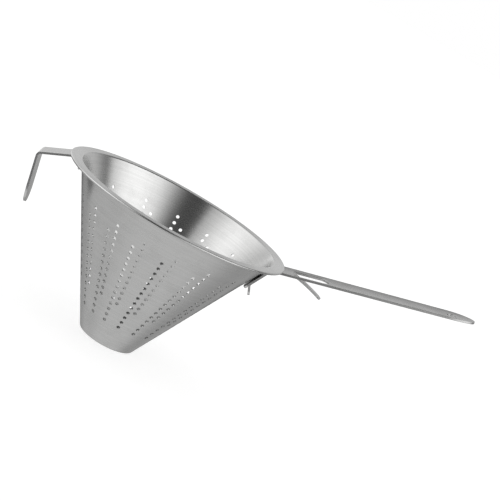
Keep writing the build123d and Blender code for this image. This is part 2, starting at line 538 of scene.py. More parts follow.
@dataclass(frozen=True)
class ConeSizes:
    """Sizes of the sheet cone, in metres."""

    rim_radius: float = 100.0 * MM
    mouth_radius: float = 89.7 * MM
    base_radius: float = 24.5 * MM
    height: float = 126.8 * MM
    sheet: float = 0.8 * MM
    mouth_bend: float = 1.8 * MM
    base_bend: float = 2.0 * MM
    hem: float = 2.0 * MM
    hem_return: float = 5.5 * MM

    @property
    def wall(self) -> float:
        """Angle between the wall and the axis, in radians."""
        spread = self.mouth_radius - self.base_radius
        slant = math.hypot(spread, self.height)
        return math.atan2(spread, self.height) + math.asin(self.sheet / slant)

    def wall_point(self, depth: float, clear: float = 0.0) -> tuple[float, float]:
        """Point off the outer wall in the XZ plane.

        Args:
            depth: How far below the rim's top plane.
            clear: Distance off the wall, square to it.

        Returns:
            x and z.
        """
        z = self.height - depth
        return self.base_radius + z * math.tan(self.wall) + clear / math.cos(self.wall), z


@dataclass
class PerforatedCone:
    """Sheet cone with its flat end, hemmed rim, rows of holes and the pull of the welds."""

    sizes: ConeSizes = field(default_factory=ConeSizes)
    hole_diameter: float = 3.1 * MM
    hole_pitch: float = 6.28 * MM
    row_starts: tuple[float, float] = (25.3 * MM, 34.5 * MM)
    row_stops: tuple[float, float] = (47.0 * MM, 25.0 * MM)
    pair_angles: tuple[float, ...] = (
        -138.6, -118.4, -98.9, -78.7, -56.6, -34.1, -12.0, 14.0,
        38.7, 63.9, 86.5, 109.5, 136.3, 157.5, 178.8, 200.2,
    )
    pair_step: float = 6.1
    ring_start: float = 4.0 * MM
    ring_pitch: float = 6.0 * MM
    ring_margin: float = 5.0 * MM
    segments: int = 216
    hole_sides: int = 16
    travel_sheets: float = 5.0
    flat_step: float = 3.0 * MM
    bend_parts: float = 7.0
    normal_parts: int = 8
    same_skin: float = 0.75
    sharp_turn: float = 0.6
    pull: float = 0.55 * MM
    pull_angle: float = 19.0
    pull_depth: float = 27.0 * MM
    pull_start: float = 0.3
    pull_end: float = 1.25
    pull_fade: float = 0.5
    probe: float = 0.5 * MM

    def skin(self) -> Turtle:
        """Inner and upper face of the sheet, from the base's centre to the folded edge."""
        s = self.sizes
        rise = math.pi / 2 - s.wall
        inner_base = s.base_radius + s.sheet * (math.tan(s.wall) - 1.0 / math.cos(s.wall))
        low = bend_run(s.base_bend - s.sheet, rise)
        high = bend_run(s.mouth_bend, rise)
        slant = math.hypot(s.mouth_radius - inner_base, s.height - s.sheet)
        return Turtle(
            (0.0, s.sheet),
            0.0,
            (
                (inner_base - low, 0.0),
                (s.base_bend - s.sheet, rise),
                (slant - low - high, 0.0),
                (s.mouth_bend, -rise),
                (s.rim_radius - s.hem / 2 - s.mouth_radius - high, 0.0),
                (s.hem / 2, -math.pi),
                (s.hem_return - s.hem / 2, 0.0),
            ),
        )

    def stations(self) -> list[float]:
        """Distances along the skin at which the section has a point."""
        skin = self.skin()
        marks = skin.breaks()
        result: list[float] = [0.0]
        for (size, turn), start, end in zip(skin.runs, marks, marks[1:]):
            step = self.flat_step if turn == 0.0 else size * abs(turn) / self.bend_parts
            count = max(1, math.ceil((end - start) / step - COUNT_SLACK))
            result += [start + (end - start) * k / count for k in range(1, count + 1)]
        return result

    def section(self) -> tuple[np.ndarray, np.ndarray]:
        """Closed section of the sheet, with the outward normal at each point.

        Returns:
            Points as (radius, z) and their normals, inner skin first.
        """
        skin = self.skin()
        upper, lower = [], []
        for distance in self.stations():
            x, z, heading = skin.at(distance)
            normal = np.array((-math.sin(heading), math.cos(heading)))
            point = np.array((x, z))
            upper.append((point, normal))
            lower.append((point - normal * self.sizes.sheet, -normal))
        ring = upper + lower[::-1]
        points = np.array([point for point, _ in ring])
        normals = np.array([normal for _, normal in ring])
        points[:, 0] = np.maximum(points[:, 0], 0.0)
        return points, normals

    def pulled(self, points: np.ndarray) -> np.ndarray:
        """How far the leg's welds pull the wall outwards at given places.

        Args:
            points: Places near the wall, one row each.

        Returns:
            Outward shift at each place, in metres.
        """
        turn = np.degrees(np.arctan2(points[:, 1], points[:, 0]))
        side = np.clip(1.0 - (turn / self.pull_angle) ** 2, 0.0, 1.0) ** 2
        depth = (self.sizes.height - points[:, 2]) / self.pull_depth
        fall = np.clip(depth / self.pull_start, 0.0, 1.0)
        fall *= np.clip((self.pull_end - depth) / self.pull_fade, 0.0, 1.0)
        fall = fall * fall * (3.0 - 2.0 * fall)
        return self.pull * side * fall

    def spun_sheet(self) -> bpy.types.Object:
        """Spin the section round the axis into a closed shell.

        Returns:
            The plain sheet, without its holes.
        """
        points, _ = self.section()
        vertices: list[tuple[float, float, float]] = []
        rows: list[list[int]] = []
        for number, (radius, z) in enumerate(points):
            first = len(vertices)
            if number in (0, len(points) - 1):
                vertices.append((0.0, 0.0, z))
                rows.append([first] * self.segments)
                continue
            for turn in range(self.segments):
                angle = 2.0 * math.pi * turn / self.segments
                vertices.append((radius * math.cos(angle), radius * math.sin(angle), z))
            rows.append(list(range(first, first + self.segments)))
        faces = []
        for upper, lower in zip(rows, rows[1:]):
            for turn in range(self.segments):
                after = (turn + 1) % self.segments
                corners = [upper[turn], lower[turn], lower[after], upper[after]]
                faces.append([c for k, c in enumerate(corners) if c != corners[k - 1]])
        return mesh_object("perforated_sheet", np.array(vertices), faces)

    def hole_places(self) -> tuple[np.ndarray, np.ndarray]:
        """Centres and axes of the holes in the wall and in the base.

        Returns:
            One row for each hole: places, and unit vectors out of the sheet.
        """
        s = self.sizes
        slant = s.height / math.cos(s.wall)
        places, axes = [], []
        for pair in self.pair_angles:
            rows = zip((0.0, -self.pair_step), self.row_starts, self.row_stops)
            for step, start, stop in rows:
                angle = math.radians(pair + step)
                out = (math.cos(s.wall), -math.sin(s.wall))
                for hole in range(int((slant - start - stop) / self.hole_pitch) + 1):
                    depth = (start + hole * self.hole_pitch) * math.cos(s.wall)
                    x, z = s.wall_point(depth, -s.sheet / 2)
                    places.append((x * math.cos(angle), x * math.sin(angle), z))
                    axes.append((out[0] * math.cos(angle), out[0] * math.sin(angle), out[1]))
        room = s.base_radius - self.ring_margin - self.hole_diameter / 2 - self.ring_start
        for ring in range(int(room / self.ring_pitch) + 1):
            radius = self.ring_start + ring * self.ring_pitch
            count = round(2.0 * math.pi * radius / self.hole_pitch)
            for hole in range(count):
                angle = 2.0 * math.pi * (hole + 0.5) / count
                places.append((radius * math.cos(angle), radius * math.sin(angle), s.sheet / 2))
                axes.append((0.0, 0.0, -1.0))
        return np.array(places), np.array(axes)

    def punch_tree(self) -> bpy.types.NodeTree:
        """Geometry Nodes that punch a round hole at each place of another object.

        Returns:
            The node group, with named inputs for its sizes.
        """
        tree = bpy.data.node_groups.new("punched_holes", "GeometryNodeTree")
        sockets = (
            ("Geometry", "Geometry"), ("Hole places", "Object"), ("Hole diameter", "Float"),
            ("Punch travel", "Float"), ("Hole sides", "Int"), ("Finish", "Material"),
        )
        for name, kind in sockets:
            tree.interface.new_socket(name, in_out="INPUT", socket_type=f"NodeSocket{kind}")
        tree.interface.new_socket("Geometry", in_out="OUTPUT", socket_type="NodeSocketGeometry")
        given = add_node(tree, "NodeGroupInput").outputs

        def made(kind: str, inputs: dict, output: str, **values: object) -> Socket:
            """One node's output, by name."""
            return add_node(tree, kind, inputs, **values).outputs[output]

        places = made(
            "GeometryNodeObjectInfo", {"Object": given["Hole places"]}, "Geometry",
            transform_space="ORIGINAL",
        )
        halved = {0: given["Hole diameter"], 1: 0.5}
        radius = made("ShaderNodeMath", halved, "Value", operation="MULTIPLY")
        size = {"Vertices": given["Hole sides"], "Radius": radius, "Depth": given["Punch travel"]}
        punch = made("GeometryNodeMeshCylinder", size, "Mesh", fill_type="NGON")
        square = made(
            "GeometryNodeInputNamedAttribute", {"Name": "punch_axis"}, "Attribute",
            data_type="FLOAT_VECTOR",
        )
        turn = made("FunctionNodeAlignRotationToVector", {"Vector": square}, "Rotation", axis="Z")
        copies = made(
            "GeometryNodeInstanceOnPoints", {"Points": places, "Instance": punch, "Rotation": turn},
            "Instances",
        )
        real = made("GeometryNodeRealizeInstances", {"Geometry": copies}, "Geometry")
        cut = made(
            "GeometryNodeMeshBoolean", {"Mesh 1": given["Geometry"], "Mesh 2": real}, "Mesh",
            operation="DIFFERENCE", solver="MANIFOLD",
        )
        dressed = made(
            "GeometryNodeSetMaterial", {"Geometry": cut, "Material": given["Finish"]}, "Geometry"
        )
        add_node(tree, "NodeGroupOutput", {"Geometry": dressed})
        return tree

    def punched(self, sheet: bpy.types.Object, finish: bpy.types.Material) -> None:
        """Punch the holes and bake the result into the sheet's own mesh.

        Args:
            sheet: The plain sheet.
            finish: Material that the result gets.
        """
        places, axes = self.hole_places()
        marks = mesh_object("hole_places", places, [])
        attribute = marks.data.attributes.new("punch_axis", "FLOAT_VECTOR", "POINT")
        attribute.data.foreach_set("vector", axes.ravel())
        modifier = sheet.modifiers.new("punched holes", "NODES")
        modifier.node_group = self.punch_tree()
        values = {
            "Hole places": marks,
            "Hole diameter": self.hole_diameter,
            "Punch travel": self.sizes.sheet * self.travel_sheets,
            "Hole sides": self.hole_sides,
            "Finish": finish,
        }
        for item in modifier.node_group.interface.items_tree:
            if item.in_out == "INPUT" and item.name in values:
                modifier[item.identifier] = values[item.name]
        bpy.context.view_layer.update()
        graph = bpy.context.evaluated_depsgraph_get()
        baked = bpy.data.meshes.new_from_object(sheet.evaluated_get(graph), depsgraph=graph)
        sheet.modifiers.remove(modifier)
        sheet.data = baked
        sheet.data.name = "perforated_sheet"
        bpy.data.objects.remove(marks)

    def corner_normals(self, mesh: bpy.types.Mesh) -> np.ndarray:
        """Exact normals of the spun sheet and of the hole walls, one for each face corner.

        Args:
            mesh: The punched mesh, before the welds' pull.

        Returns:
            Unit normals in corner order.
        """
        section, section_normals = self.section()
        near = kdtree.KDTree(len(section) * self.normal_parts)
        fine_normals = []
        for number in range(len(section) - 1):
            for part in range(self.normal_parts):
                share = part / self.normal_parts
                point, normal = (
                    line[number] * (1 - share) + line[number + 1] * share
                    for line in (section, section_normals)
                )
                near.insert((point[0], point[1], 0.0), len(fine_normals))
                fine_normals.append(normal)
        near.balance()
        places, axes = self.hole_places()
        holes = kdtree.KDTree(len(places))
        for number, place in enumerate(places):
            holes.insert(place, number)
        holes.balance()
        result = np.zeros((len(mesh.loops), 3))
        for polygon in mesh.polygons:
            centre = polygon.center
            radius = math.hypot(centre.x, centre.y)
            _, index, _ = near.find((radius, centre.z, 0.0))
            turned = self._spun(fine_normals[index], centre)
            on_skin = polygon.normal.dot(turned) > self.same_skin
            for corner in polygon.loop_indices:
                point = mesh.vertices[mesh.loops[corner].vertex_index].co
                if on_skin:
                    _, index, _ = near.find((math.hypot(point.x, point.y), point.z, 0.0))
                    normal = self._spun(fine_normals[index], point)
                    if normal.dot(turned) < self.sharp_turn:
                        normal = turned
                    result[corner] = normal
                    continue
                _, hole, away = holes.find(point)
                if away < self.hole_diameter:
                    axis = Vector(axes[hole])
                    gap = point - Vector(places[hole])
                    result[corner] = -(gap - axis * gap.dot(axis)).normalized()
                else:
                    result[corner] = polygon.normal
        return result

    @staticmethod
    def _spun(normal: np.ndarray, point: Vector) -> Vector:
        """A section normal turned to a point's own angle."""
        radius = max(math.hypot(point.x, point.y), TINY)
        turned = Vector((normal[0] * point.x / radius, normal[0] * point.y / radius, normal[1]))
        return turned.normalized()

    def apply_pull(self, piece: bpy.types.Object, normals: np.ndarray) -> np.ndarray:
        """Move the wall by the welds' pull and tilt its normals to suit.

        Args:
            piece: The punched sheet.
            normals: Corner normals before the pull.

        Returns:
            Corner normals after the pull.
        """
        mesh = piece.data
        points = read(mesh.vertices, "co", 3)
        wall = self.sizes.wall
        flat = np.maximum(np.hypot(points[:, 0], points[:, 1]), TINY)
        out = np.empty_like(points)
        out[:, :2] = points[:, :2] / flat[:, None] * math.cos(wall)
        out[:, 2] = -math.sin(wall)
        slope = np.empty_like(points)
        for axis, probe in enumerate(np.eye(3) * self.probe):
            ahead, behind = self.pulled(points + probe), self.pulled(points - probe)
            slope[:, axis] = (ahead - behind) / (2 * self.probe)
        moved = points + out * self.pulled(points)[:, None]
        mesh.vertices.foreach_set("co", moved.ravel())
        corner_vertex = read(mesh.loops, "vertex_index", kind=int)
        facing = np.sum(normals * out[corner_vertex], axis=1)
        tilt = slope[corner_vertex] * facing[:, None]
        result = normals - tilt + normals * np.sum(tilt * normals, axis=1)[:, None]
        return result / np.linalg.norm(result, axis=1)[:, None]

    def build(self, finish: bpy.types.Material) -> bpy.types.Object:
        """Make the finished sheet and let it stand for the CAD node.

        Args:
            finish: The cone's material.

        Returns:
            The finished piece.
        """
        sheet = self.spun_sheet()
        self.punched(sheet, finish)
        normals = self.corner_normals(sheet.data)
        normals = self.apply_pull(sheet, normals)
        shade_with(sheet, normals)
        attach(sheet, "root")
        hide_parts("perforated_cone")
        return sheet


# Strips bent out of flat blanks


@dataclass(frozen=True)
class Corner:
    """Corner of a blank's outline, in blank coordinates, with its rounding."""

    along: float
    across: float
    rounding: float = 0.0


def signed_area(loop: np.ndarray) -> float:
    """Area inside a closed outline, negative where it runs clockwise."""
    after = np.roll(loop, -1, axis=0)
    return 0.5 * np.sum(loop[:, 0] * after[:, 1] - after[:, 0] * loop[:, 1])


def rounded_arc(corner: Corner, here: np.ndarray, before: np.ndarray, after: np.ndarray) -> list:
    """Points of one corner of an outline, rounded where it asks for it.

    Args:
        corner: The corner.
        here: Its place.
        before: Place of the corner before it.
        after: Place of the corner after it.

    Returns:
        The points, from the edge before the corner to the edge after it.
    """
    if corner.rounding <= 0.0:
        return [here]
    before, after = before - here, after - here
    before, after = before / np.linalg.norm(before), after / np.linalg.norm(after)
    half = math.acos(float(np.clip(before @ after, -1.0, 1.0))) / 2.0
    reach = corner.rounding / math.tan(half)
    bisector = (before + after) / np.linalg.norm(before + after)
    centre = here + bisector * corner.rounding / math.sin(half)
    first, last = here + before * reach - centre, here + after * reach - centre
    sweep = math.atan2(first[0] * last[1] - first[1] * last[0], float(first @ last))
    parts = max(3, math.ceil(abs(sweep) / ARC_STEP))
    square = np.array((-first[1], first[0]))
    angles = [sweep * part / parts for part in range(parts + 1)]
    return [centre + first * math.cos(angle) + square * math.sin(angle) for angle in angles]


def rounded_loop(corners: Sequence[Corner], stations: Sequence[float]) -> np.ndarray:
    """Points of a closed outline with rounded corners, split at the given stations.

    A slanting edge isn't split: a point in line with its neighbours would upset the fill.

    Args:
        corners: The outline's corners in order.
        stations: Values of the along coordinate at which straight edges get a point.

    Returns:
        One row for each point, as (along, across).
    """
    places = [np.array((corner.along, corner.across)) for corner in corners]
    count = len(corners)
    arcs = [
        rounded_arc(corner, places[k], places[k - 1], places[(k + 1) % count])
        for k, corner in enumerate(corners)
    ]
    points: list[np.ndarray] = []
    for number, arc in enumerate(arcs):
        points += arc
        start, end = arc[-1], arcs[(number + 1) % count][0]
        if abs(end[0] - start[0]) < TINY:
            steps = max(1, math.ceil(abs(end[1] - start[1]) / END_STEP))
            points += [start + (end - start) * k / steps for k in range(1, steps)]
            continue
        if abs(end[1] - start[1]) > TINY:
            continue
        low, high = sorted((start[0], end[0]))
        inner = [mark for mark in stations if low + STATION_GAP < mark < high - STATION_GAP]
        if end[0] < start[0]:
            inner = inner[::-1]
        run = end[0] - start[0]
        points += [start + (end - start) * (mark - start[0]) / run for mark in inner]
    clean = [points[0]]
    for point in points[1:]:
        if np.linalg.norm(point - clean[-1]) > SAME_POINT:
            clean.append(point)
    if np.linalg.norm(clean[0] - clean[-1]) < SAME_POINT:
        clean.pop()
    return np.array(clean)


def inward(loop: np.ndarray, hole: bool) -> np.ndarray:
    """Direction into the metal at each point of an outline.

    Args:
        loop: The outline's points.
        hole: Whether the outline bounds a hole.

    Returns:
        Vectors that move a point one unit off both of its edges.
    """
    sign = math.copysign(1.0, signed_area(loop)) * (-1.0 if hole else 1.0)
    edge = np.roll(loop, -1, axis=0) - loop
    edge /= np.linalg.norm(edge, axis=1)[:, None]
    normal = np.column_stack((-edge[:, 1], edge[:, 0])) * sign
    both = normal + np.roll(normal, 1, axis=0)
    size = np.maximum(np.sum(both * both, axis=1), SHARPEST_MITRE)
    return both * (2.0 / size)[:, None]


def inside(points: np.ndarray, loop: np.ndarray) -> np.ndarray:
    """Which points lie inside a closed outline."""
    result = np.zeros(len(points), dtype=bool)
    after = np.roll(loop, -1, axis=0)
    for (x0, y0), (x1, y1) in zip(loop, after):
        if y0 == y1:
            continue
        crosses = (points[:, 1] >= min(y0, y1)) & (points[:, 1] < max(y0, y1))
        cut = x0 + (points[:, 1] - y0) * (x1 - x0) / (y1 - y0)
        result ^= crosses & (points[:, 0] < cut)
    return result


Placing = Callable[[float, float], tuple[float, float, float, float]]


@dataclass
class Skin:
    """Surface of a flat blank: points as (along, across, deep) and what each one carries."""

    points: list = field(default_factory=list)
    ups: list = field(default_factory=list)
    wear: list = field(default_factory=list)
    faces: list = field(default_factory=list)

    def add(self, flat: np.ndarray, deep: float, ups: list, wear: list) -> int:
        """Add a layer of points.

        Args:
            flat: Their places in the blank's plane.
            deep: Their depth below its upper face.
            ups: Their normals.
            wear: Their edge wear.

        Returns:
            Number of the first point.
        """
        first = len(self.points)
        self.points += [(*place, deep) for place in flat]
        self.ups += ups
        self.wear += wear
        return first


@dataclass
class Blank:
    """Flat strip with rounded edges, its outline, cut-outs and the way that it is bent."""

    name: str
    thickness: float
    outline: Sequence[Corner]
    cutouts: Sequence[Sequence[Corner]]
    stations: Sequence[float]
    half_width: float
    side: Side
    place: Placing
    edge_rounding: float = 0.22 * MM
    wear_width: float = 0.7 * MM
    edge_steps: int = 3
    lane_width: float = 2.2 * MM
    clear_share: float = 1.3
    probe: float = 0.05 * MM
    seam: float = 0.004 * MM
    smallest_area: float = 5e-15
    fill_merge: float = 1e-7

    def bent(self, finish: bpy.types.Material) -> bpy.types.Object:
        """Bend the blank into its finished shape.

        Args:
            finish: The strip's material.

        Returns:
            The new object, with its material and shading normals.
        """
        loops = [(rounded_loop(self.outline, self.stations), False)]
        loops += [(rounded_loop(cutout, self.stations), True) for cutout in self.cutouts]
        flat, wear, tops = self._fill(loops)
        skin = Skin()
        for deep, up in ((0.0, 1), (self.thickness, -1)):
            first = skin.add(flat, deep, [(0.0, 0.0, up)] * len(flat), wear)
            skin.faces += [tuple(first + corner for corner in top[::up]) for top in tops]
        for loop, hole in loops:
            self._edge(loop, hole, skin)
        piece, normals = self._bend(skin)
        piece.data.materials.append(finish)
        shade_with(piece, normals)
        return piece

    def _fill(self, loops: Sequence[tuple[np.ndarray, bool]]) -> tuple:
        """Triangulate the flat face between its inset outlines.

        Args:
            loops: The outlines, each with whether it is a hole.

        Returns:
            The face's points, their wear and its triangles.
        """
        coordinates: list[Vector] = []
        wear: list[float] = []
        edges: list[tuple[int, int]] = []
        borders = []
        for loop, hole in loops:
            into = inward(loop, hole)
            count, first = len(loop), len(coordinates)
            border = loop + into * self.edge_rounding
            unworn = loop + into * (self.edge_rounding + self.wear_width)
            borders.append((border, hole))
            coordinates += [Vector(point) for point in (*border, *unworn)]
            wear += [1.0] * count + [0.0] * count
            edges += [(first + k, first + (k + 1) % count) for k in range(count)]
        lanes = round(2 * self.half_width / self.lane_width)
        across = [self.half_width * (2 * lane / lanes - 1) for lane in range(1, lanes)]
        grid = np.array([(mark, aside) for mark in self.stations for aside in across])
        keep = self._in_metal(grid, borders)
        for ring, _ in borders:
            gap = np.min(np.linalg.norm(grid[:, None, :] - ring[None, :, :], axis=2), axis=1)
            keep &= gap > self.wear_width * self.clear_share
        coordinates += [Vector(point) for point in grid[keep]]
        wear += [0.0] * int(keep.sum())
        points, _, triangles, sources, _, _ = geometry.delaunay_2d_cdt(
            coordinates, edges, [], 0, self.fill_merge, True
        )
        flat = np.array([tuple(point) for point in points])
        worn_out = [max((wear[k] for k in source), default=0.0) for source in sources]
        middle = np.array([flat[list(triangle)].mean(axis=0) for triangle in triangles])
        tops = []
        for triangle, use in zip(triangles, self._in_metal(middle, borders)):
            area = signed_area(flat[list(triangle)])
            if use and abs(area) > self.smallest_area:
                tops.append(tuple(triangle) if area > 0 else tuple(reversed(triangle)))
        return flat, worn_out, tops

    @staticmethod
    def _in_metal(points: np.ndarray, borders: Sequence[tuple[np.ndarray, bool]]) -> np.ndarray:
        """Which points lie inside the outline, the first border, and outside every hole."""
        result = inside(points, borders[0][0])
        for ring, hole in borders:
            if hole:
                result &= ~inside(points, ring)
        return result

    def _edge(self, loop: np.ndarray, hole: bool, skin: Skin) -> None:
        """Add the rounded edge along one outline.

        Args:
            loop: The outline's points.
            hole: Whether it bounds a hole.
            skin: The blank's surface, extended in place.
        """
        into = inward(loop, hole)
        unit = into / np.linalg.norm(into, axis=1)[:, None]
        size, count = self.edge_rounding, len(loop)
        turns = [math.pi / 2 * step / self.edge_steps for step in range(self.edge_steps + 1)]
        profile = [(size * (1 - math.sin(a)), size * (1 - math.cos(a)), a) for a in turns]
        profile += [(inset, self.thickness - deep, math.pi - a) for inset, deep, a in profile[::-1]]
        rings = []
        for inset, deep, turn in profile:
            ups = [(*(-out * math.sin(turn)), math.cos(turn)) for out in unit]
            rings.append(skin.add(loop + into * inset, deep, ups, [1.0] * count))
        flip = (signed_area(loop) > 0) == hole
        for upper, lower in zip(rings, rings[1:]):
            for k in range(count):
                after = (k + 1) % count
                face = (upper + k, lower + k, lower + after, upper + after)
                skin.faces.append(face[::-1] if flip else face)

    def _bend(self, skin: Skin) -> tuple[bpy.types.Object, np.ndarray]:
        """Put the blank's points and normals where the bends take them.

        Args:
            skin: The blank's surface.

        Returns:
            The new object and its corner normals.
        """
        sign = self.side.value
        placed = np.empty((len(skin.points), 3))
        normals = np.empty_like(placed)
        for number, ((along, across, deep), up) in enumerate(zip(skin.points, skin.ups)):
            x, z, heading, dish = self.place(along, across)
            _, _, _, beside = self.place(along, across + self.probe)
            slope = (beside - dish) / self.probe
            out = np.array((-math.sin(heading), 0.0, math.cos(heading)))
            run = np.array((math.cos(heading), 0.0, math.sin(heading)))
            placed[number] = np.array((x, across, z)) - out * (deep + dish)
            width = np.array((0.0, 1.0, 0.0)) - out * slope
            width /= np.linalg.norm(width)
            face = np.cross(run, width)
            face *= math.copysign(1.0, float(face @ out))
            normal = run * up[0] + width * up[1] + face * up[2]
            normals[number] = normal / np.linalg.norm(normal)
        placed[:, 0] *= sign
        normals[:, 0] *= sign
        faces = skin.faces if sign > 0 else [face[::-1] for face in skin.faces]
        piece = mesh_object(self.name, placed, faces)
        mesh = piece.data
        self._weld_seams(mesh, skin, normals)
        stored = read(mesh.attributes["skin_normal"].data, "vector", 3, np.float32)
        mesh.attributes.remove(mesh.attributes["skin_normal"])
        return piece, stored[read(mesh.loops, "vertex_index", kind=int)]

    def _weld_seams(self, mesh: bpy.types.Mesh, skin: Skin, normals: np.ndarray) -> None:
        """Store the blank's values on the mesh and join the edge to the faces.

        Args:
            mesh: The bent mesh.
            skin: The blank's surface.
            normals: Vertex normals in vertex order.
        """
        stores = (
            ("blank", "FLOAT_VECTOR", "vector", skin.points),
            ("edge_wear", "FLOAT", "value", skin.wear),
            ("skin_normal", "FLOAT_VECTOR", "vector", normals),
        )
        for name, kind, part, values in stores:
            attribute = mesh.attributes.new(name, kind, "POINT")
            attribute.data.foreach_set(part, np.array(values).ravel())
        work = bmesh.new()
        work.from_mesh(mesh)
        bmesh.ops.remove_doubles(work, verts=work.verts, dist=self.seam)
        work.to_mesh(mesh)
        work.free()


def spaced(marks: Iterable[tuple[float, float, float]]) -> list[float]:
    """Stations along a strip: ranges of (start, end, largest step), joined in order.

    Args:
        marks: The ranges.

    Returns:
        Sorted stations without repeats.
    """
    result: set[float] = set()
    for start, end, step in marks:
        count = max(1, math.ceil((end - start) / step))
        result |= {round(start + (end - start) * k / count, DIGITS) for k in range(count + 1)}
    return sorted(result)


@dataclass
class Handle:
    """Strip handle: wall leg with a prong, dished arm, slot with its tongue, hanging hole."""

    cone: ConeSizes = field(default_factory=ConeSizes)
    width: float = 27.5 * MM
    thickness: float = 2.0 * MM
    rise: float = math.radians(14.85)
    drop: float = 1.8 * MM
    length: float = 164.8 * MM
    tip_width: float = 23.6 * MM
    tip_length: float = 24.0 * MM
    tip_parts: int = 26
    side_bow: float = 0.05 * MM
    dish: float = 1.1 * MM
    bend: float = 2.0 * MM
    standoff: float = 1.0 * MM
    leg_depth: float = 28.5 * MM
    leg_rounding: float = 3.5 * MM
    prong_width: float = 9.0 * MM
    prong_root_depth: float = 24.0 * MM
    prong_length: float = 12.5 * MM
    prong_lean: float = math.radians(23.5)
    prong_bend: float = 1.5 * MM
    prong_slit: float = 0.6 * MM
    slot_start: float = 8.8 * MM
    slot_length: float = 30.3 * MM
    slot_width: float = 15.4 * MM
    slot_rounding: float = 7.5 * MM
    tongue_width: float = 7.5 * MM
    tongue_length: float = 29.0 * MM
    tongue_slope: float = math.radians(9.0)
    tongue_tip_slope: float = math.radians(20.0)
    tongue_bend: float = 3.0 * MM
    tongue_rounding: float = 3.6 * MM
    hang_hole: float = 8.5 * MM
    hang_inset: float = 20.0 * MM
    fullest_prong: float = 0.97
    fullest_hole: float = 0.999
    knee_stretch: float = 2.6 * MM
    flat_step: float = 2.5 * MM
    bend_step: float = 0.4 * MM
    root_step: float = 1.2 * MM
    knee_step: float = 0.35 * MM
    slot_step: float = 1.5 * MM
    arm_step: float = 4.0 * MM
    slack: float = 0.05 * MM

    def __post_init__(self) -> None:
        """Work out the lines that the strip, its prong and its tongue follow."""
        climb = math.pi / 2 - self.cone.wall
        self.turn = climb - self.rise
        bend = self.bend + self.thickness
        rim = np.array((self.cone.rim_radius, self.cone.height - self.drop))
        foot = np.array(self.cone.wall_point(0.0, self.standoff))
        corner = crossing(rim, self.rise, foot, climb)
        leg_end = np.array(self.cone.wall_point(self.leg_depth, self.standoff))
        leg_run = float(np.linalg.norm(corner - leg_end)) - bend_run(bend, self.turn)
        root_run = float(np.linalg.norm(rim - corner)) - bend_run(bend, self.turn)
        self.bend_start = leg_run
        self.bend_end = leg_run + bend * self.turn
        self.rim_mark = self.bend_end + root_run
        runs = ((leg_run, 0.0), (bend, -self.turn), (root_run + self.length, 0.0))
        self.path = Turtle(tuple(leg_end), climb, runs)
        self._lay_prong(leg_end)
        self._lay_tongue(rim)

    def _lay_prong(self, leg_end: np.ndarray) -> None:
        """Line of the prong, from its tip up to where it leaves the leg.

        Args:
            leg_end: Lower end of the leg.
        """
        bend = self.prong_bend + self.thickness
        turn = self.cone.wall + self.prong_lean
        corner = np.array(self.cone.wall_point(self.prong_root_depth, self.standoff))
        tip_heading = math.pi / 2 + self.prong_lean
        tip = corner - np.array((math.cos(tip_heading), math.sin(tip_heading))) * self.prong_length
        straight = self.prong_length - bend_run(bend, turn)
        self.prong_root = float(np.linalg.norm(corner - leg_end)) + bend_run(bend, turn)
        self.prong_tip = self.prong_root - straight - bend * turn
        runs = ((straight, 0.0), (bend, -turn), (MM, 0.0))
        self.prong_path = Turtle(tuple(tip), tip_heading, runs)

    def _lay_tongue(self, rim: np.ndarray) -> None:
        """Line of the tongue, from its root in the arm to its tip.

        Args:
            rim: Point where the arm's upper edges pass the rim's edge.
        """
        root = rim + np.array((math.cos(self.rise), math.sin(self.rise))) * self.slot_start
        knee = self.tongue_bend + self.thickness + self.dish
        first = self.rise + self.tongue_slope
        second = self.tongue_tip_slope - self.tongue_slope
        runs = ((knee, -first), (self.tongue_length / second, -second))
        self.tongue_path = Turtle(tuple(root), self.rise, runs)
        self.tongue_root = self.rim_mark + self.slot_start
        self.tongue_stretch = self.tongue_path.length() / self.tongue_length

    def place(self, along: float, across: float) -> tuple[float, float, float, float]:
        """Where a point of the blank's skin lies once it is bent.

        Args:
            along: Distance along the blank from the leg's end.
            across: Distance from the strip's middle.

        Returns:
            x, z, heading and how far the dish lowers the skin there.
        """
        radius = (self.width**2 / 4 + self.dish**2) / (2 * self.dish)
        trough = math.sqrt(max(radius**2 - across**2, 0.0)) - (radius - self.dish)
        if self._on_tongue(along - self.tongue_root, abs(across)):
            x, z, heading = self.tongue_path.at((along - self.tongue_root) * self.tongue_stretch)
            return x, z, heading, trough
        if along < self.prong_root and abs(across) < self.prong_width / 2 + self.slack:
            x, z, heading = self.prong_path.at(along - self.prong_tip)
            return x, z, heading, 0.0
        x, z, heading = self.path.at(along)
        ramp = (along - self.bend_end) / (self.rim_mark - self.bend_end)
        return x, z, heading, trough * min(max(ramp, 0.0), 1.0)

    def _on_tongue(self, past_root: float, aside: float) -> bool:
        """Whether a point of the blank belongs to the tongue.

        Args:
            past_root: Distance along the blank past the tongue's root.
            aside: Distance from the strip's middle.

        Returns:
            True on the tongue and just outside its edge.
        """
        half = self.tongue_width / 2
        if not 0.0 < past_root < self.tongue_length + self.slack or aside > half + self.slack:
            return False
        corner = (self.tongue_length - self.tongue_rounding, half - self.tongue_rounding)
        beyond = math.hypot(max(past_root - corner[0], 0.0), max(aside - corner[1], 0.0))
        return beyond < self.tongue_rounding + self.slack

